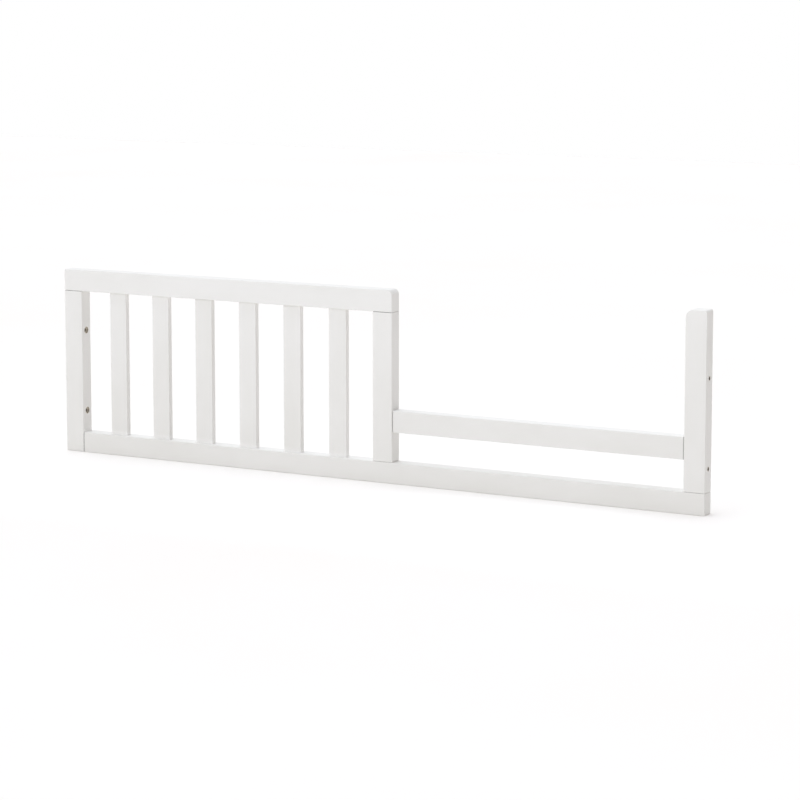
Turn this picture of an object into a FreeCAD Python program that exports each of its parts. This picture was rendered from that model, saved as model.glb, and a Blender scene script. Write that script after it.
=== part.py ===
"""Conversion guard rail that turns a full-size crib into a toddler bed.

A white-painted solid-wood frame that closes the open side of the crib.  A bottom rail carries three posts.
Between the left and the middle post, six slats run up to a top rail.  Between the middle and the right post,
a low guard rail leaves the entry open for the child.  Dowels hold the frame, routed tenons hold the slats.
Two bolts through each end post fasten the rail to the crib's end panels, in stepped steel sleeves.

Frame: millimetres, +Z up, the front of the rail faces -Y.  The origin is the centre of the footprint, on the
plane that the bottom rail rests on.
"""
import FreeCAD
import Part
import os

from FreeCAD import Vector

# ---- driving dimensions, mm --------------------------------------------------------------------------

# Whole rail
overall_length = 1330.0  # over the outer faces of the end posts, the clear inside length of a full-size crib
overall_height = 355.0
frame_thickness = 28.0  # posts, top rail and bottom rail, front to back
edge_radius = 1.5  # eased edges of posts and rails
joint_chamfer = 1.0  # broken rim of an end that meets another piece: it leaves a fine V along the joint

# Posts
end_post_width = 40.0
middle_post_width = 40.0
slatted_length = 721.0  # from the left end to the far side of the middle post: the top rail's length
right_post_inner_radius = 14.0  # big round on the right post's top, on the entry side
right_post_outer_radius = 4.0

# Rails
top_rail_height = 41.0
top_rail_end_radius = 10.0  # rounded top corner over the middle post
bottom_rail_height = 39.0
guard_rail_height = 40.0
guard_rail_thickness = 24.0  # just short of the frame's, and centred in it
guard_rail_top = 134.5  # above the floor plane

# Slats
slat_count = 6
slat_width = 37.0
slat_thickness = 11.0
slat_edge_radius = 1.2

# Routed tenons on the slats' ends
tenon_length = 12.0
tenon_thickness = 7.0
tenon_shoulder = 4.0  # step on each narrow side of the slat
mortise_side_clearance = 0.1  # glue line round a tenon
mortise_end_clearance = 1.0  # room for glue below a tenon

# Dowels, two in each joint of the frame
dowel_diameter = 8.0
dowel_length = 35.0
dowel_spacing = 20.0
dowel_chamfer = 1.0
dowel_side_clearance = 0.05
dowel_end_clearance = 1.0
dowel_depth_in_post = 17.5  # the rest of a dowel sits in the rail

# Bolt holes through the end posts, with their stepped steel sleeves
bolt_hole_diameter = 7.0  # clears an M6 bolt
lower_bolt_height = 80.0
bolt_spacing = 157.0
sleeve_barrel_diameter = 9.0
sleeve_cup_diameter = 14.0  # takes the bolt's head
sleeve_cup_wall = 1.0
sleeve_cup_depth = 3.5  # clear depth of the cup below the post's face
sleeve_clearance = 0.05

# ---- derived stations --------------------------------------------------------------------------------

left_end = -overall_length / 2
right_end = overall_length / 2
left_post_inner = left_end + end_post_width
middle_post_right = left_end + slatted_length
middle_post_left = middle_post_right - middle_post_width
right_post_inner = right_end - end_post_width

front = -frame_thickness / 2
back = frame_thickness / 2
top_rail_underside = overall_height - top_rail_height
guard_rail_underside = guard_rail_top - guard_rail_height
upper_bolt_height = lower_bolt_height + bolt_spacing

slat_gap = (middle_post_left - left_post_inner - slat_count * slat_width) / (slat_count + 1)
slat_pitch = slat_width + slat_gap
slat_centres = [left_post_inner + slat_gap + slat_width / 2 + i * slat_pitch for i in range(slat_count)]

along_x = Vector(1, 0, 0)
along_z = Vector(0, 0, 1)


# ---- building blocks ---------------------------------------------------------------------------------

def block(low, high):
    """A plain box between two corners."""
    size = [b - a for a, b in zip(low, high)]
    return Part.makeBox(size[0], size[1], size[2], Vector(*low))


def edge_lies_on(edge, axis, value):
    """True if every point of the edge has this value on this axis (0, 1 or 2)."""
    box = edge.BoundBox
    low = (box.XMin, box.YMin, box.ZMin)[axis]
    high = (box.XMax, box.YMax, box.ZMax)[axis]
    return abs(low - value) < 1e-4 and abs(high - value) < 1e-4


def round_corner(shape, x, z, radius):
    """Round the one edge that runs front to back at (x, z)."""
    corner = [e for e in shape.Edges if edge_lies_on(e, 0, x) and edge_lies_on(e, 2, z)]
    return shape.makeFillet(radius, corner)


def is_sharp(shape, edge):
    """True where two flat faces meet."""
    faces = shape.ancestorsOfType(edge, Part.Face)
    return all(isinstance(face.Surface, Part.Plane) for face in faces)


def edges_of_ends(shape, ends):
    """The edges on any of the ends, which are (axis, value) planes."""
    return [e for e in shape.Edges if any(edge_lies_on(e, axis, value) for axis, value in ends)]


def ease(shape, radius, square_ends=()):
    """Round the front and back outlines and every other sharp edge, round any rounded corner too.

    square_ends lists the ends that stay square, flat against another piece.
    """
    box = shape.BoundBox
    kept = edges_of_ends(shape, square_ends)
    eased = []
    for edge in shape.Edges:
        on_outline = edge_lies_on(edge, 1, box.YMin) or edge_lies_on(edge, 1, box.YMax)
        on_joint = any(edge.isSame(other) for other in kept)
        if (on_outline or is_sharp(shape, edge)) and not on_joint:
            eased.append(edge)
    return shape.makeFillet(radius, eased)


def ease_member(shape, *joint_ends):
    """Ease a post or a rail, and chamfer the rims of the ends that meet another piece."""
    shape = ease(shape, edge_radius, joint_ends)
    rims = edges_of_ends(shape, joint_ends)
    if rims:
        shape = shape.makeChamfer(joint_chamfer, rims)
    return shape


def stadium_peg(centre_x, z, length, width, thickness):
    """An upright bar with a round-ended section, wide along X: the shape that a router bit leaves."""
    end_radius = thickness / 2
    half = width / 2 - end_radius
    left_back = Vector(centre_x - half, end_radius, z)
    left_tip = Vector(centre_x - half - end_radius, 0, z)
    left_front = Vector(centre_x - half, -end_radius, z)
    right_front = Vector(centre_x + half, -end_radius, z)
    right_tip = Vector(centre_x + half + end_radius, 0, z)
    right_back = Vector(centre_x + half, end_radius, z)
    section = Part.Wire([
        Part.Arc(left_back, left_tip, left_front).toShape(),
        Part.makeLine(left_front, right_front),
        Part.Arc(right_front, right_tip, right_back).toShape(),
        Part.makeLine(right_back, left_back),
    ])
    return Part.Face(section).extrude(Vector(0, 0, length))


def cylinder_at(point, direction, start, length, diameter):
    """A round bar about the line through point, from start to start + length along the direction."""
    return Part.makeCylinder(diameter / 2, length, point + direction * start, direction)


# ---- dowel joints ------------------------------------------------------------------------------------
# Each joint is (seat, direction, spread): seat is the centre of the two faces that meet, direction points
# from the rail into the post, and the two dowels stand dowel_spacing apart along spread.

left_post_centre = left_end + end_post_width / 2
middle_post_centre = (middle_post_left + middle_post_right) / 2
right_post_centre = right_end - end_post_width / 2
bottom_rail_middle = bottom_rail_height / 2
guard_rail_middle = (guard_rail_underside + guard_rail_top) / 2

dowel_joints = {
    "left_post_top_dowels": (Vector(left_post_centre, 0, top_rail_underside), -along_z, along_x),
    "left_post_foot_dowels": (Vector(left_post_inner, 0, bottom_rail_middle), -along_x, along_z),
    "middle_post_top_dowels": (Vector(middle_post_centre, 0, top_rail_underside), -along_z, along_x),
    "middle_post_foot_dowels": (Vector(middle_post_centre, 0, bottom_rail_height), along_z, along_x),
    "right_post_foot_dowels": (Vector(right_post_centre, 0, bottom_rail_height), along_z, along_x),
    "guard_rail_left_dowels": (Vector(middle_post_right, 0, guard_rail_middle), -along_x, along_z),
    "guard_rail_right_dowels": (Vector(right_post_inner, 0, guard_rail_middle), along_x, along_z),
}


def dowel_points(joint):
    """Where the two dowels of a joint cross the plane where the faces meet."""
    seat, direction, spread = dowel_joints[joint]
    return [seat + spread * (side * dowel_spacing / 2) for side in (-1, 1)]


def make_dowels(joint):
    """The two dowels of a joint, chamfered at both ends."""
    direction = dowel_joints[joint][1]
    dowels = []
    for point in dowel_points(joint):
        depth_in_rail = dowel_length - dowel_depth_in_post
        dowel = cylinder_at(point, direction, -depth_in_rail, dowel_length, dowel_diameter)
        rims = [e for e in dowel.Edges if isinstance(e.Curve, Part.Circle)]
        dowels.append(dowel.makeChamfer(dowel_chamfer, rims))
    return Part.makeCompound(dowels)


def drill_dowel_holes(shape, *joints):
    """Cut a joint's holes; each piece of the joint loses only its own half of them."""
    for joint in joints:
        direction = dowel_joints[joint][1]
        for point in dowel_points(joint):
            start = dowel_depth_in_post - dowel_length - dowel_end_clearance
            length = dowel_length + 2 * dowel_end_clearance
            bore = dowel_diameter + 2 * dowel_side_clearance
            shape = shape.cut(cylinder_at(point, direction, start, length, bore))
    return shape


# ---- bolt holes and sleeves --------------------------------------------------------------------------

def make_sleeve(post_inner, outward, height):
    """A stepped steel sleeve: a cup for the bolt's head, open on the post's inner side, and a barrel.

    It is turned about the bolt's axis; r is the radius and t the depth below the post's inner face.
    """
    bore = bolt_hole_diameter / 2
    barrel = sleeve_barrel_diameter / 2
    cup = sleeve_cup_diameter / 2
    cup_bore = cup - sleeve_cup_wall
    floor = sleeve_cup_depth
    section = [
        (cup_bore, 0),
        (cup, 0),
        (cup, floor + sleeve_cup_wall),
        (barrel, floor + sleeve_cup_wall),
        (barrel, end_post_width),
        (bore, end_post_width),
        (bore, floor),
        (cup_bore, floor),
    ]
    points = [Vector(post_inner + outward * t, 0, height + r) for r, t in section]
    profile = Part.Face(Part.makePolygon(points + points[:1]))
    return profile.revolve(Vector(post_inner, 0, height), along_x, 360)


def drill_bolt_holes(shape, post_inner, outward):
    """Cut the stepped holes that the sleeves of one end post fit."""
    direction = along_x * outward
    cup_seat = sleeve_cup_depth + sleeve_cup_wall
    for height in (lower_bolt_height, upper_bolt_height):
        mouth = Vector(post_inner, 0, height)
        barrel_bore = sleeve_barrel_diameter + 2 * sleeve_clearance
        cup_bore = sleeve_cup_diameter + 2 * sleeve_clearance
        shape = shape.cut(cylinder_at(mouth, direction, 0, end_post_width, barrel_bore))
        shape = shape.cut(cylinder_at(mouth, direction, 0, cup_seat, cup_bore))
    return shape


# ---- slats and their mortises ------------------------------------------------------------------------

def make_slat(centre_x):
    """A slat with a shouldered, round-ended tenon at each end."""
    half = slat_width / 2
    body = block(
        (centre_x - half, -slat_thickness / 2, bottom_rail_height),
        (centre_x + half, slat_thickness / 2, top_rail_underside),
    )
    body = ease(body, slat_edge_radius, [(2, bottom_rail_height), (2, top_rail_underside)])
    tenon_width = slat_width - 2 * tenon_shoulder
    span = top_rail_underside - bottom_rail_height + 2 * tenon_length
    core = stadium_peg(centre_x, bottom_rail_height - tenon_length, span, tenon_width, tenon_thickness)
    return body.fuse(core).removeSplitter()


def cut_mortises(rail):
    """Cut the slats' mortises into a rail; one tool per slat reaches into both rails."""
    width = slat_width - 2 * tenon_shoulder + 2 * mortise_side_clearance
    thickness = tenon_thickness + 2 * mortise_side_clearance
    depth = tenon_length + mortise_end_clearance
    span = top_rail_underside - bottom_rail_height + 2 * depth
    for centre_x in slat_centres:
        rail = rail.cut(stadium_peg(centre_x, bottom_rail_height - depth, span, width, thickness))
    return rail


# ---- posts -------------------------------------------------------------------------------------------

def make_left_post():
    """Runs from the floor plane to the underside of the top rail; the bottom rail butts on its inner side."""
    post = block((left_end, front, 0), (left_post_inner, back, top_rail_underside))
    post = ease_member(post, (2, top_rail_underside))
    post = drill_dowel_holes(post, "left_post_top_dowels", "left_post_foot_dowels")
    return drill_bolt_holes(post, left_post_inner, -1)


def make_middle_post():
    """Stands between the bottom rail and the top rail, and carries one end of the guard rail."""
    post = block((middle_post_left, front, bottom_rail_height), (middle_post_right, back, top_rail_underside))
    post = ease_member(post, (2, bottom_rail_height), (2, top_rail_underside))
    return drill_dowel_holes(
        post, "middle_post_top_dowels", "middle_post_foot_dowels", "guard_rail_left_dowels"
    )


def make_right_post():
    """Stands on the end of the bottom rail, with a rounded top on the entry side."""
    post = block((right_post_inner, front, bottom_rail_height), (right_end, back, overall_height))
    post = round_corner(post, right_post_inner, overall_height, right_post_inner_radius)
    post = round_corner(post, right_end, overall_height, right_post_outer_radius)
    post = ease_member(post, (2, bottom_rail_height))
    post = drill_dowel_holes(post, "right_post_foot_dowels", "guard_rail_right_dowels")
    return drill_bolt_holes(post, right_post_inner, 1)


# ---- rails -------------------------------------------------------------------------------------------

def make_top_rail():
    """Caps the left post, the slats and the middle post."""
    rail = block((left_end, front, top_rail_underside), (middle_post_right, back, overall_height))
    rail = round_corner(rail, middle_post_right, overall_height, top_rail_end_radius)
    rail = ease_member(rail)
    rail = cut_mortises(rail)
    return drill_dowel_holes(rail, "left_post_top_dowels", "middle_post_top_dowels")


def make_bottom_rail():
    """Runs from the left post's inner side to the right end, under the middle and right posts."""
    rail = block((left_post_inner, front, 0), (right_end, back, bottom_rail_height))
    rail = ease_member(rail, (0, left_post_inner))
    rail = cut_mortises(rail)
    return drill_dowel_holes(
        rail, "left_post_foot_dowels", "middle_post_foot_dowels", "right_post_foot_dowels"
    )


def make_guard_rail():
    """The low rail across the entry, a little thinner than the posts and centred between their faces."""
    half = guard_rail_thickness / 2
    rail = block((middle_post_right, -half, guard_rail_underside), (right_post_inner, half, guard_rail_top))
    rail = ease_member(rail, (0, middle_post_right), (0, right_post_inner))
    return drill_dowel_holes(rail, "guard_rail_left_dowels", "guard_rail_right_dowels")


# ---- assembly ----------------------------------------------------------------------------------------

def build():
    """Every piece of the guard rail by its node name."""
    pieces = {
        "top_rail": make_top_rail(),
        "bottom_rail": make_bottom_rail(),
        "lower_guard_rail": make_guard_rail(),
        "left_post": make_left_post(),
        "middle_post": make_middle_post(),
        "right_post": make_right_post(),
        "left_lower_bolt_sleeve": make_sleeve(left_post_inner, -1, lower_bolt_height),
        "left_upper_bolt_sleeve": make_sleeve(left_post_inner, -1, upper_bolt_height),
        "right_lower_bolt_sleeve": make_sleeve(right_post_inner, 1, lower_bolt_height),
        "right_upper_bolt_sleeve": make_sleeve(right_post_inner, 1, upper_bolt_height),
    }
    for number, centre_x in enumerate(slat_centres, start=1):
        pieces["slat_%d" % number] = make_slat(centre_x)
    for joint in dowel_joints:
        pieces[joint] = make_dowels(joint)
    return pieces


def main():
    os.makedirs("parts", exist_ok=True)
    for name, shape in build().items():
        shape.exportStep("parts/%s.step" % name)
        print("%-24s %d solid(s) %10.1f mm3" % (name, len(shape.Solids), shape.Volume))


main()
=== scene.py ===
"""Looks of the toddler bed guard rail: white-painted wood, with steel-lined bolt holes in its end posts.

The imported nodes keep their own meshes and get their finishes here, in a plain studio.  Metres, +Z up, the
rail's front towards -Y.
"""
import math

import bpy
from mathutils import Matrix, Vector


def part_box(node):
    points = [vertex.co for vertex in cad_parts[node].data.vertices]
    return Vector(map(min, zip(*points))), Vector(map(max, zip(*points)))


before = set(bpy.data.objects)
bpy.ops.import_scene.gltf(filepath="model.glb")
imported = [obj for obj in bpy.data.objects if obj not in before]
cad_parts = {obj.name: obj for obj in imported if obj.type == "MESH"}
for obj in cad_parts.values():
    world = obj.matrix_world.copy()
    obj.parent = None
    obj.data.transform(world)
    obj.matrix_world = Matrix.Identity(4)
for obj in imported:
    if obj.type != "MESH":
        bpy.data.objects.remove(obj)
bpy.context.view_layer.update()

MM = 0.001

# ---- pieces by finish --------------------------------------------------------------------------------

RAILS = ("top_rail", "bottom_rail", "lower_guard_rail")
SLATS = tuple(sorted(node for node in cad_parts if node.startswith("slat_")))
DOWELS = tuple(sorted(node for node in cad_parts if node.endswith("_dowels")))
SLEEVES = tuple(sorted(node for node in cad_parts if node.endswith("_sleeve")))

# ---- colours, sRGB -----------------------------------------------------------------------------------

PAINT_WHITE = "E9E8E5"
PAINT_SHADE = "E5E4E0"
# painted bounce light: whiter paint just above the feet, where the bottom rail's top throws light up
PAINTED_BOUNCE_WHITE = "FAF9F7"
JOINT_GAP_AND_SHADE = "2E2B28"
BARE_PINE = "D9B98A"
BARE_PINE_DARK = "C29A66"
BEECH = "CFA57A"
BEECH_FLECK = "A97F57"
ZINC_LIGHT = "E6E1D8"
ZINC_DARK = "CCC6BB"
FLOOR_PALE = "FCFAF7"
FLOOR_SHADE = "FBF8F4"
BACKDROP_WHITE = "FFFFFF"

# ---- dark lines at the joints, partly painted shade, and painted bounce light at the feet ------------

# the dark is partly an open crack in the paint and partly painted shade of the groove there
# dark line beside each kind of joint: full as far as the first distance, gone at the second
FOOT_LINE = (0.0 * MM, 0.5 * MM)
HEAD_LINE = (0.2 * MM, 0.8 * MM)
RAIL_END_LINE = (1.1 * MM, 1.7 * MM)
SET_BACK_END_LINE = (0.0 * MM, 2.4 * MM)
# the line's painted shade is fainter on faces that turn sideways or up
# how much of the line is left on faces other than the front and back, by the axis that the joint crosses
JOINT_SHADE_ELSEWHERE = {"X": 0.0, "Z": 0.35}

BOUNCE_LIGHT_HEIGHT = 14 * MM  # how far up from a foot the painted bounce light reaches
BOUNCE_LIGHT_FALL = 2.0  # the power by which that painted light fades with height
# the sides of each post, towards -X or +X, that make an inside corner with the bottom rail
POST_CORNERS = {"left_post": (1,), "middle_post": (-1, 1), "right_post": (-1,)}

# how squarely a surface faces a way: where a mark starts to show on it, and where it shows in full
BROAD_FACE = (0.1, 0.6)
CORNER_SIDE = (0.4, 0.9)

# ---- patterns ----------------------------------------------------------------------------------------

# size of a cell: across the grain, and along it
PAINT_PATCH = (60 * MM, 160 * MM)
WOOD_FIBRE = (1.1 * MM, 55 * MM)
SPRAY_DIMPLE = (1.8 * MM, 1.8 * MM)
PINE_GRAIN = (2.2 * MM, 70 * MM)
ZINC_CLOUD = (2.5 * MM, 2.5 * MM)
LATHE_RING = (40 * MM, 0.25 * MM)
WOOD_FLECK = (0.6 * MM, 5 * MM)
FLOOR_PATCH = (900 * MM, 900 * MM)

NOISE_ROUGHNESS = 0.55
NOISE_MIDDLE = (0.3, 0.7)  # most of a noise lies between these values

# relief of a surface: how strongly it bends the light, and how deep it is
FIBRE_RELIEF = {"Strength": 0.35, "Distance": 0.05 * MM}
DIMPLE_RELIEF = {"Strength": 0.35, "Distance": 0.04 * MM}
RING_RELIEF = {"Strength": 0.3, "Distance": 0.05 * MM}
FLECK_RELIEF = {"Strength": 0.3, "Distance": 0.05 * MM}

# roughness: at the smoothest spots, and at the roughest
PAINT_ROUGHNESS = (0.38, 0.48)
ZINC_ROUGHNESS = (0.42, 0.58)
BEECH_ROUGHNESS = (0.62, 0.74)
FLOOR_ROUGHNESS = 0.9

ACRYLIC_IOR = 1.49
FLOOR_SPECULAR = 0.1

# ---- camera and light --------------------------------------------------------------------------------

CAMERA_PLACE = (2.3147, -4.1566, 0.9232)
CAMERA_YAW = 28.422  # degrees left of straight ahead (+Y)
CAMERA_PITCH = 7.079  # degrees below the horizon
CAMERA_LENS = 118.6  # mm
CAMERA_SHIFT_Y = -0.125  # share of the sensor's width

FLOOR_SIZE = 16.0  # metres along each side

# direction of a side of the studio: its colour, and how bright it is
STUDIO_SIDES = {
    (-0.6, -0.8, 0.0): ("FFFEFC", 1.07),
    (-0.7, 0.7, 0.0): ("FFFFFF", 0.90),
    (0.0, 1.0, 0.0): ("FFFFFF", 0.50),
    (1.0, 0.0, 0.0): ("FFF2EC", 0.37),
}

OVERHEAD_SILK = ("F0F5FF", 1.60, 60.0)  # colour, strength, and the angle that it fills, in degrees

# name: (place, aim, size along its width, size along its height, colour, watts)
SOFTBOXES = {
    "front_strip_softbox": ((0.0, -0.45, 0.50), (0.0, 0.0, 0.36), 2.0, 0.10, "E5EDFF", 1.15),
}


# ---- colour and node helpers -------------------------------------------------------------------------

def linear(hex_colour):
    """An sRGB hex colour as linear RGBA."""
    channels = [int(hex_colour[i:i + 2], 16) / 255 for i in (0, 2, 4)]
    curve = [c / 12.92 if c <= 0.04045 else ((c + 0.055) / 1.055) ** 2.4 for c in channels]
    return (*curve, 1.0)


def add(tree, kind, settings=None, links=None):
    """Add a node: settings go to its properties or to input sockets, links join sockets to its inputs."""
    node = tree.nodes.new(kind)
    for key, value in (settings or {}).items():
        if isinstance(key, int) or key in node.inputs:
            node.inputs[key].default_value = value
        else:
            setattr(node, key, value)
    for key, socket in (links or {}).items():
        tree.links.new(socket, node.inputs[key])
    return node


def new_material(name):
    """An empty material with its shader; returns the material, its tree and the shader."""
    material = bpy.data.materials.new(name)
    material.use_nodes = True
    tree = material.node_tree
    tree.nodes.clear()
    shader = add(tree, "ShaderNodeBsdfPrincipled")
    add(tree, "ShaderNodeOutputMaterial", links={"Surface": shader.outputs["BSDF"]})
    return material, tree, shader


def ranges(source, target):
    """Settings that carry a value from one range to another, and hold it at the target's ends."""
    return {"From Min": source[0], "From Max": source[1], "To Min": target[0], "To Max": target[1]}


def stretched_noise(tree, place, across, along, grain, detail=3.0, offset=0.0):
    """Noise whose cells measure across and along, in metres, with the second on the grain's axis.

    offset moves the pattern, so that two of the same size differ.
    """
    scale = [1 / across] * 3
    scale["XYZ".index(grain)] = 1 / along
    mapping = add(
        tree, "ShaderNodeMapping", {"Scale": scale, "Location": (offset, offset * 0.7, offset * 1.3)},
        {"Vector": place},
    )
    noise = add(
        tree, "ShaderNodeTexNoise", {"Scale": 1.0, "Detail": detail, "Roughness": NOISE_ROUGHNESS},
        {"Vector": mapping.outputs["Vector"]},
    )
    return noise.outputs["Fac"]


def two_tones(tree, noise, first, second):
    """Colour a surface by a noise: the first colour where it is low, the second where it is high."""
    share = add(tree, "ShaderNodeMapRange", ranges(NOISE_MIDDLE, (0.0, 1.0)), {"Value": noise})
    tones = {"data_type": "RGBA", 6: linear(first), 7: linear(second)}
    return add(tree, "ShaderNodeMix", tones, {0: share.outputs["Result"]}).outputs[2]


def vary_roughness(tree, shader, noise, limits):
    """Make a surface rougher where a noise is high; limits are its least and greatest roughness."""
    rough = add(tree, "ShaderNodeMapRange", ranges(NOISE_MIDDLE, limits), {"Value": noise})
    tree.links.new(rough.outputs["Result"], shader.inputs["Roughness"])


def normal_along(tree, axis):
    """The part of the surface's normal on one axis."""
    normal = add(tree, "ShaderNodeNewGeometry").outputs["Normal"]
    return add(tree, "ShaderNodeSeparateXYZ", links={"Vector": normal}).outputs[axis]


def corner_sides(tree, sides):
    """One on the sides of a piece, towards -X or +X, that have an inside corner, and nothing elsewhere."""
    across = normal_along(tree, "X")
    one_side = {"operation": "MULTIPLY", 1: sides[0]}
    either_side = {"operation": "ABSOLUTE"}
    picked = one_side if len(sides) == 1 else either_side
    towards = add(tree, "ShaderNodeMath", picked, {0: across}).outputs[0]
    shown = ranges(CORNER_SIDE, (0.0, 1.0))
    return add(tree, "ShaderNodeMapRange", shown, {"Value": towards}).outputs["Result"]


def paint_bounce_light(tree, place, colour, foot, sides):
    """Fade a colour to painted bounce light, a whiter paint in the inside corner just above a foot.

    sides are the sides that have the corner, towards -X or +X, or None where it runs all round.
    """
    height = add(tree, "ShaderNodeSeparateXYZ", links={"Vector": place}).outputs["Z"]
    fading = ranges((foot, foot + BOUNCE_LIGHT_HEIGHT), (1.0, 0.0))
    near = add(tree, "ShaderNodeMapRange", fading, {"Value": height}).outputs["Result"]
    share = add(tree, "ShaderNodeMath", {"operation": "POWER", 1: BOUNCE_LIGHT_FALL}, {0: near}).outputs[0]
    if sides:
        corner = corner_sides(tree, sides)
        share = add(tree, "ShaderNodeMath", {"operation": "MULTIPLY"}, {0: share, 1: corner}).outputs[0]
    bounce_white = {"data_type": "RGBA", 7: linear(PAINTED_BOUNCE_WHITE)}
    return add(tree, "ShaderNodeMix", bounce_white, {0: share, 6: colour}).outputs[2]


def darken_joint_gap_and_shade(tree, place, colour, axis, plane, line):
    """Fade a colour to the dark line of an open joint and painted shade beside a plane."""
    along = add(tree, "ShaderNodeSeparateXYZ", links={"Vector": place}).outputs[axis]
    offset = add(tree, "ShaderNodeMath", {"operation": "SUBTRACT", 1: plane}, {0: along}).outputs[0]
    distance = add(tree, "ShaderNodeMath", {"operation": "ABSOLUTE"}, {0: offset}).outputs[0]
    near = add(tree, "ShaderNodeMapRange", ranges(line, (1.0, 0.0)), {"Value": distance}).outputs["Result"]
    fore_and_aft = normal_along(tree, "Y")
    facing = add(tree, "ShaderNodeMath", {"operation": "ABSOLUTE"}, {0: fore_and_aft}).outputs[0]
    strength = ranges(BROAD_FACE, (JOINT_SHADE_ELSEWHERE[axis], 1.0))
    shown = add(tree, "ShaderNodeMapRange", strength, {"Value": facing}).outputs["Result"]
    share = add(tree, "ShaderNodeMath", {"operation": "MULTIPLY"}, {0: near, 1: shown}).outputs[0]
    dark = {"data_type": "RGBA", 7: linear(JOINT_GAP_AND_SHADE)}
    return add(tree, "ShaderNodeMix", dark, {0: share, 6: colour}).outputs[2]


# ---- materials ---------------------------------------------------------------------------------------

def painted_wood(name, grain, joints=(), bounce_light=None):
    """Sprayed satin acrylic paint on close-grained wood; returns the material, its tree and the shader.

    The paint is nearly even: it is a shade darker in slow patches, its surface has the fine dimples of a
    spray gun, and the fibres underneath show faintly along the grain.

    joints lists (axis, place, line) of the planes where the piece meets another.  The dark line there is an
    open crack with painted shade, mostly on the broad front and back, and fainter on the sides and tops.

    The last argument is the height of a foot above which painted bounce light whitens the paint, and the
    sides that have its corner, or None for all round.
    """
    material, tree, shader = new_material(name)
    place = add(tree, "ShaderNodeTexCoord").outputs["Object"]
    patches = stretched_noise(tree, place, *PAINT_PATCH, grain)
    colour = two_tones(tree, patches, PAINT_WHITE, PAINT_SHADE)
    if bounce_light:
        colour = paint_bounce_light(tree, place, colour, *bounce_light)
    for axis, plane, line in joints:
        colour = darken_joint_gap_and_shade(tree, place, colour, axis, plane, line)
    tree.links.new(colour, shader.inputs["Base Color"])

    fibres = stretched_noise(tree, place, *WOOD_FIBRE, grain, detail=4.0)
    dimples = stretched_noise(tree, place, *SPRAY_DIMPLE, grain, detail=1.0, offset=3.0)
    grained = add(tree, "ShaderNodeBump", FIBRE_RELIEF, {"Height": fibres}).outputs["Normal"]
    bump = add(tree, "ShaderNodeBump", DIMPLE_RELIEF, {"Height": dimples, "Normal": grained})
    tree.links.new(bump.outputs["Normal"], shader.inputs["Normal"])
    vary_roughness(tree, shader, fibres, PAINT_ROUGHNESS)
    shader.inputs["IOR"].default_value = ACRYLIC_IOR
    return material, tree, shader


def slat_finish(name, tenon_low, tenon_high):
    """Painted wood as far as the rails; the tenons beyond them are bare pine, left dry for the glue."""
    # painted bounce light whitens the slats just above the bottom rail
    material, tree, shader = painted_wood(name, "Z", bounce_light=(tenon_low, None))
    place = add(tree, "ShaderNodeTexCoord").outputs["Object"]
    height = add(tree, "ShaderNodeSeparateXYZ", links={"Vector": place}).outputs["Z"]
    middle = (tenon_low + tenon_high) / 2
    reach = (tenon_high - tenon_low) / 2
    span = {"operation": "COMPARE", 1: middle, 2: reach}
    painted = add(tree, "ShaderNodeMath", span, {0: height}).outputs[0]
    grain = stretched_noise(tree, place, *PINE_GRAIN, "Z", detail=5.0, offset=9.0)
    pine = two_tones(tree, grain, BARE_PINE, BARE_PINE_DARK)
    paint = shader.inputs["Base Color"].links[0].from_socket
    both = add(tree, "ShaderNodeMix", {"data_type": "RGBA"}, {0: painted, 6: pine, 7: paint})
    tree.links.new(both.outputs[2], shader.inputs["Base Color"])
    return material


def zinc_plated_steel(name):
    """Turned steel with dull zinc plating: grey, a little cloudy, with fine rings from the lathe."""
    material, tree, shader = new_material(name)
    place = add(tree, "ShaderNodeTexCoord").outputs["Object"]
    cloud = stretched_noise(tree, place, *ZINC_CLOUD, "X")
    colour = two_tones(tree, cloud, ZINC_LIGHT, ZINC_DARK)
    tree.links.new(colour, shader.inputs["Base Color"])
    rings = stretched_noise(tree, place, *LATHE_RING, "X", detail=2.0)
    bump = add(tree, "ShaderNodeBump", RING_RELIEF, {"Height": rings})
    tree.links.new(bump.outputs["Normal"], shader.inputs["Normal"])
    vary_roughness(tree, shader, cloud, ZINC_ROUGHNESS)
    shader.inputs["Metallic"].default_value = 1.0
    return material


def bare_beech(name, grain):
    """Unfinished beech, milled smooth: warm tan, with short darker flecks along the grain."""
    material, tree, shader = new_material(name)
    place = add(tree, "ShaderNodeTexCoord").outputs["Object"]
    flecks = stretched_noise(tree, place, *WOOD_FLECK, grain, detail=2.0)
    colour = two_tones(tree, flecks, BEECH, BEECH_FLECK)
    tree.links.new(colour, shader.inputs["Base Color"])
    bump = add(tree, "ShaderNodeBump", FLECK_RELIEF, {"Height": flecks})
    tree.links.new(bump.outputs["Normal"], shader.inputs["Normal"])
    vary_roughness(tree, shader, flecks, BEECH_ROUGHNESS)
    return material


def floor_finish(name):
    """Matt paint on a pale studio floor: no sheen, and a shade that drifts slowly across it."""
    material, tree, shader = new_material(name)
    place = add(tree, "ShaderNodeTexCoord").outputs["Object"]
    patches = stretched_noise(tree, place, *FLOOR_PATCH, "X")
    colour = two_tones(tree, patches, FLOOR_PALE, FLOOR_SHADE)
    tree.links.new(colour, shader.inputs["Base Color"])
    shader.inputs["Roughness"].default_value = FLOOR_ROUGHNESS
    shader.inputs["Specular IOR Level"].default_value = FLOOR_SPECULAR
    return material


# ---- stage -------------------------------------------------------------------------------------------

def add_floor():
    """A square floor that the rail stands on."""
    half = FLOOR_SIZE / 2
    corners = [(-half, -half, 0), (half, -half, 0), (half, half, 0), (-half, half, 0)]
    mesh = bpy.data.meshes.new("floor")
    mesh.from_pydata(corners, [], [(0, 1, 2, 3)])
    mesh.materials.append(floor_finish("matt_pale_floor"))
    floor = bpy.data.objects.new("floor", mesh)
    bpy.context.scene.collection.objects.link(floor)


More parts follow.
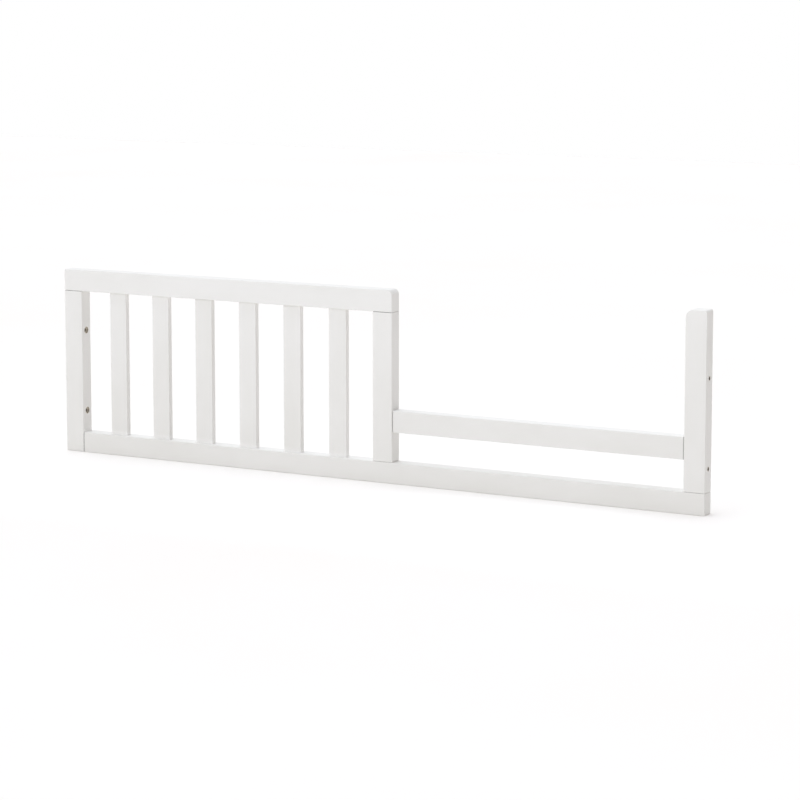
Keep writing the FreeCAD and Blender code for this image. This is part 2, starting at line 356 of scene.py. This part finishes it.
def add_studio():
    """Pale walls: each lights most along its own direction, and the camera sees plain white instead."""
    world = bpy.data.worlds.new("pale_studio")
    world.use_nodes = True
    tree = world.node_tree
    tree.nodes.clear()
    direction = add(tree, "ShaderNodeTexCoord").outputs["Generated"]
    total = None
    for side, (colour, brightness) in STUDIO_SIDES.items():
        facing = {"operation": "DOT_PRODUCT", 1: side}
        towards = add(tree, "ShaderNodeVectorMath", facing, {0: direction}).outputs["Value"]
        share = add(tree, "ShaderNodeMath", {"operation": "MAXIMUM", 1: 0.0}, {0: towards}).outputs[0]
        full = {"operation": "SCALE", 0: [c * brightness for c in linear(colour)[:3]]}
        light = add(tree, "ShaderNodeVectorMath", full, {"Scale": share}).outputs["Vector"]
        if total is None:
            total = light
        else:
            both = {0: total, 1: light}
            total = add(tree, "ShaderNodeVectorMath", {"operation": "ADD"}, both).outputs["Vector"]
    lighting = add(tree, "ShaderNodeBackground", links={"Color": total})
    backdrop = add(tree, "ShaderNodeBackground", {"Color": linear(BACKDROP_WHITE)})
    seen = add(tree, "ShaderNodeLightPath").outputs["Is Camera Ray"]
    backgrounds = {0: seen, 1: lighting.outputs["Background"], 2: backdrop.outputs["Background"]}
    either = add(tree, "ShaderNodeMixShader", links=backgrounds)
    add(tree, "ShaderNodeOutputWorld", links={"Surface": either.outputs["Shader"]})
    bpy.context.scene.world = world


def add_overhead_silk():
    """One wide sheet of light straight above, which draws soft shadows under the rail."""
    colour, strength, angle = OVERHEAD_SILK
    light = bpy.data.lights.new("overhead_silk", "SUN")
    light.color = linear(colour)[:3]
    light.energy = strength
    light.angle = math.radians(angle)
    bpy.context.scene.collection.objects.link(bpy.data.objects.new("overhead_silk", light))


def add_softboxes():
    """Lamps with a wide face, each turned to its aim and hidden from the camera."""
    for name, (place, aim, width, height, colour, watts) in SOFTBOXES.items():
        light = bpy.data.lights.new(name, "AREA")
        light.color = linear(colour)[:3]
        light.shape = "RECTANGLE"
        light.size = width
        light.size_y = height
        light.energy = watts
        lamp = bpy.data.objects.new(name, light)
        lamp.location = place
        lamp.rotation_euler = (Vector(aim) - Vector(place)).to_track_quat("-Z", "Y").to_euler()
        lamp.visible_camera = False
        bpy.context.scene.collection.objects.link(lamp)


def add_camera():
    """A long lens from the entry end, a little above the rail."""
    camera = bpy.data.objects.new("camera", bpy.data.cameras.new("camera"))
    camera.data.lens = CAMERA_LENS
    camera.data.shift_y = CAMERA_SHIFT_Y
    camera.location = CAMERA_PLACE
    camera.rotation_euler = (math.radians(90 - CAMERA_PITCH), 0.0, math.radians(CAMERA_YAW))
    bpy.context.scene.collection.objects.link(camera)
    bpy.context.scene.camera = camera


# ---- dress the frame ---------------------------------------------------------------------------------

def dress(nodes, material):
    """Give the nodes their finish."""
    for node in nodes:
        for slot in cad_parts[node].material_slots:
            slot.material = material


def long_axis(node):
    """The axis that a pair of dowels lies along: they are longer than the pair is wide."""
    low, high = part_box(node)
    return "X" if high.x - low.x > high.z - low.z else "Z"


rail_faces = (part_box("bottom_rail")[1].z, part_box("top_rail")[0].z)
rail_top, rail_underside = rail_faces
# where each rail and post meets another piece: the axis that the joint crosses, its place and its dark line
member_joints = {
    "top_rail": (),
    "bottom_rail": (("X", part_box("bottom_rail")[0].x, RAIL_END_LINE),),
    "lower_guard_rail": (
        ("X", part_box("lower_guard_rail")[0].x, HEAD_LINE),
        ("X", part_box("lower_guard_rail")[1].x, SET_BACK_END_LINE),
    ),
    "left_post": (("Z", rail_underside, HEAD_LINE),),
    "middle_post": (("Z", rail_top, FOOT_LINE), ("Z", rail_underside, HEAD_LINE)),
    "right_post": (("Z", rail_top, FOOT_LINE),),
}
for member, joints in member_joints.items():
    grain = "X" if member in RAILS else "Z"
    # the posts get painted bounce light in their inside corners just above the bottom rail
    bounce_light = None if member in RAILS else (rail_top, POST_CORNERS[member])
    paint, _, _ = painted_wood("satin_white_paint_%s" % member, grain, joints, bounce_light)
    dress([member], paint)
dress(SLATS, slat_finish("satin_white_paint_on_slats", *rail_faces))
for grain in ("X", "Z"):
    lying = [node for node in DOWELS if long_axis(node) == grain]
    dress(lying, bare_beech("bare_beech_along_%s" % grain.lower(), grain))
dress(SLEEVES, zinc_plated_steel("zinc_plated_steel"))

add_floor()
add_studio()
add_overhead_silk()
add_softboxes()
add_camera()
bpy.context.scene.view_settings.view_transform = "Standard"
